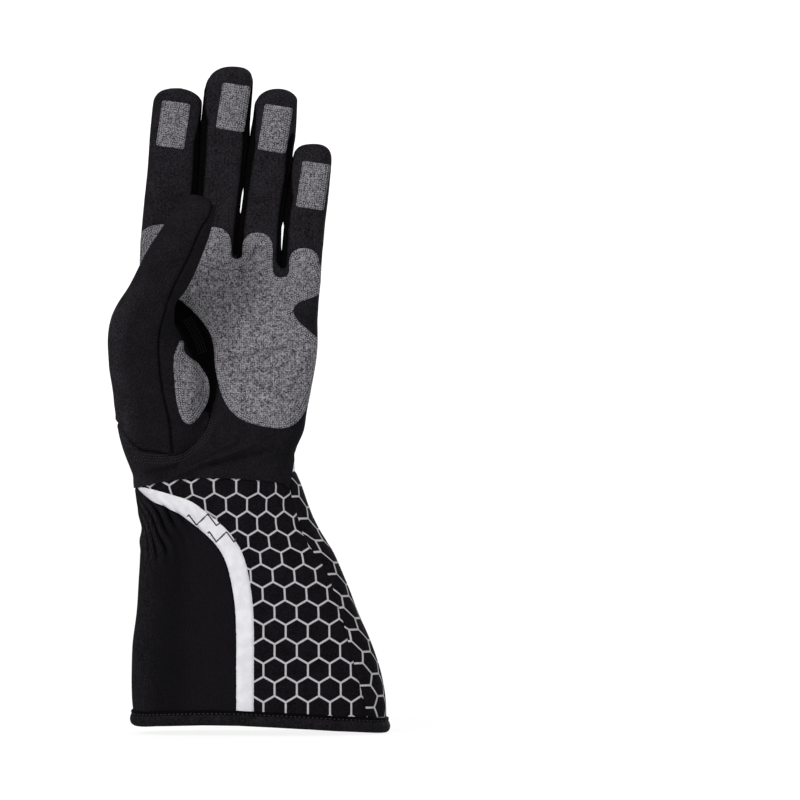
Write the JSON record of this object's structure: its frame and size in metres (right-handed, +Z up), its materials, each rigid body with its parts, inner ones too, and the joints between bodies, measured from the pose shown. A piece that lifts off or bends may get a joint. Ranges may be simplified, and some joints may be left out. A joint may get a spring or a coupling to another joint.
{
  "type": "sim racing glove",
  "caption": "Left-hand sim racing glove with a flared gauntlet cuff, grey grip patches on palm, thumb base and fingertips, white cuff bands and a bound hem.",
  "frame": {"origin": "middle of the hand opening, at the hem of the cuff", "axes": "+Z up through the cuff and the palm to the fingertips; -Y the way the palm faces; -X the thumb's side"},
  "size_m": [0.1389, 0.0889, 0.3312],
  "materials": {
    "black_fabric": "matt near-black fine knit",
    "printed_fabric": "matt near-black knit printed with an outline hexagon pattern in light grey",
    "grey_grip": "heathered mid-grey suede-like fabric with stitched edges",
    "white_band": "white woven band with a slight satin sheen",
    "binding_tape": "black folded edge tape"
  },
  "bodies": {
    "root": {"palm_panel": "black_fabric", "back_panel": "printed_fabric", "gusset_index_middle": "black_fabric", "gusset_middle_ring": "black_fabric", "gusset_ring_pinky": "black_fabric", "thumb_outer_panel": "black_fabric", "thumb_inner_panel": "black_fabric", "palm_patch": "grey_grip", "thumb_base_patch": "grey_grip", "index_tip_patch": "grey_grip", "middle_tip_patch": "grey_grip", "ring_tip_patch": "grey_grip", "pinky_tip_patch": "grey_grip", "cuff_thumb_panel": "black_fabric", "cuff_palm_panel": "printed_fabric", "cuff_back_outer_panel": "printed_fabric", "cuff_back_inner_panel": "printed_fabric", "palm_band": "white_band", "back_band": "white_band", "hem_binding": "binding_tape"}
  },
  "joints": []
}
